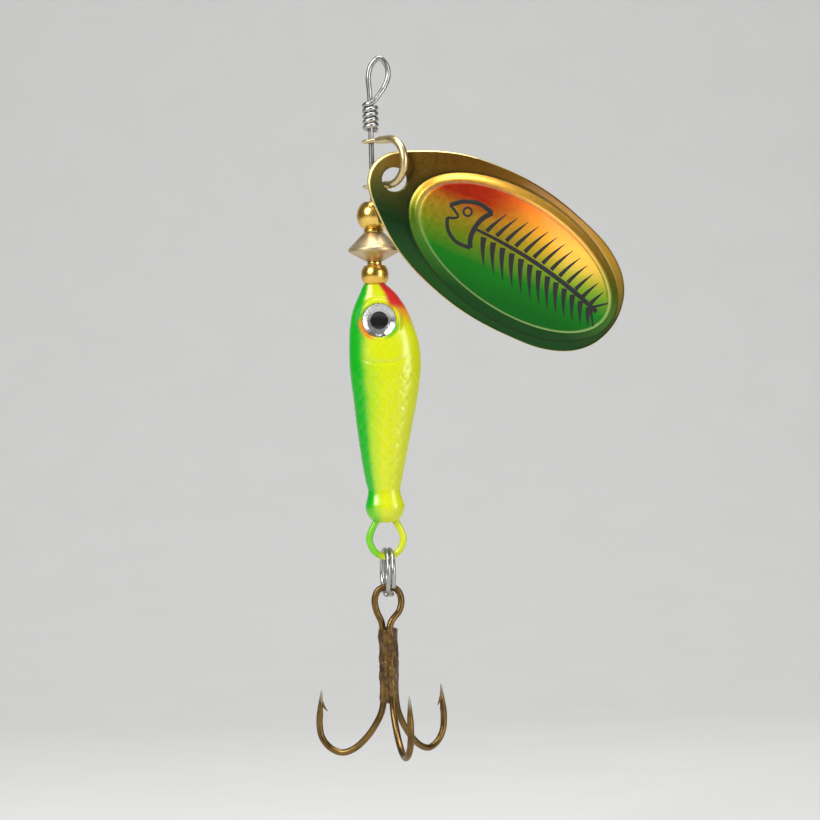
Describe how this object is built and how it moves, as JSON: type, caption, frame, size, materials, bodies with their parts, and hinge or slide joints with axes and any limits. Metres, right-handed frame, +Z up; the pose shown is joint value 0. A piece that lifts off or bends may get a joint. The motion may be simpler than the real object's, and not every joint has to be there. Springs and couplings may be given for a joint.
{
  "type": "inline spinner",
  "caption": "Inline spinner: wire shaft with a line-tie loop, cupped blade on a clevis, turned beads, minnow-shaped casting, split ring and treble hook.",
  "frame": {"origin": "inside top of the line-tie loop, on the shaft line", "axes": "+Z up along the straight shaft, +X across the casting's flat side, +Y away from the viewer"},
  "size_m": [0.0484, 0.0199, 0.1052],
  "materials": {
    "stainless": "drawn stainless wire",
    "pale_brass": "satin pale brass",
    "bead_brass": "polished golden brass",
    "lacquer": "clear coloured lacquer over brass, red and amber to green",
    "body_paint": "glossy fluorescent paint, green back and yellow side",
    "silver_foil": "bright foil",
    "black_ink": "black print",
    "clear_epoxy": "clear epoxy dome",
    "bronzed_steel": "bronzed lacquered hook wire",
    "solder": "grainy bronzed braze"
  },
  "bodies": {
    "body": {"shaft_wire": "stainless", "body_casting": "body_paint", "eye_foil_front": "silver_foil", "eye_pupil_front": "black_ink", "eye_lens_front": "clear_epoxy", "eye_foil_back": "silver_foil", "eye_pupil_back": "black_ink", "eye_lens_back": "clear_epoxy"},
    "clevis": {"clevis": "pale_brass"},
    "blade": {"blade": "lacquer"},
    "upper_ball": {"upper_ball": "bead_brass"},
    "upper_washer": {"upper_washer": "bead_brass"},
    "double_cone": {"double_cone": "pale_brass"},
    "lower_washer": {"lower_washer": "bead_brass"},
    "lower_ball": {"lower_ball": "bead_brass"},
    "split_ring": {"split_ring": "stainless"},
    "treble": {"double_hook": "bronzed_steel", "single_hook": "bronzed_steel", "braze": "solder"}
  },
  "joints": [
    {"name": "clevis_spin", "type": "hinge", "parent": "body", "child": "clevis", "pos_m": [0, 0, -0.01545], "axis": [0, 0, 1], "continuous": true},
    {"name": "blade_swing", "type": "hinge", "parent": "clevis", "child": "blade", "pos_m": [0.00326, -0.00367, -0.01871], "axis": [0.6639, -0.7478, 0], "range_deg": [-90, 8]},
    {"name": "upper_ball_spin", "type": "hinge", "parent": "body", "child": "upper_ball", "pos_m": [0, 0, -0.0232], "axis": [0, 0, 1], "continuous": true},
    {"name": "upper_washer_spin", "type": "hinge", "parent": "body", "child": "upper_washer", "pos_m": [0, 0, -0.0255], "axis": [0, 0, 1], "continuous": true},
    {"name": "double_cone_spin", "type": "hinge", "parent": "body", "child": "double_cone", "pos_m": [0, 0, -0.028], "axis": [0, 0, 1], "continuous": true},
    {"name": "lower_washer_spin", "type": "hinge", "parent": "body", "child": "lower_washer", "pos_m": [0, 0, -0.0304], "axis": [0, 0, 1], "continuous": true},
    {"name": "lower_ball_spin", "type": "hinge", "parent": "body", "child": "lower_ball", "pos_m": [0, 0, -0.032], "axis": [0, 0, 1], "continuous": true},
    {"name": "ring_swing", "type": "hinge", "parent": "body", "child": "split_ring", "pos_m": [0.00062, 0, -0.0744], "axis": [1, 0, 0], "range_deg": [-100, 100]},
    {"name": "treble_swing", "type": "hinge", "parent": "split_ring", "child": "treble", "pos_m": [0.0007, 0, -0.0802], "axis": [0, 1, 0], "range_deg": [-90, 90]}
  ]
}
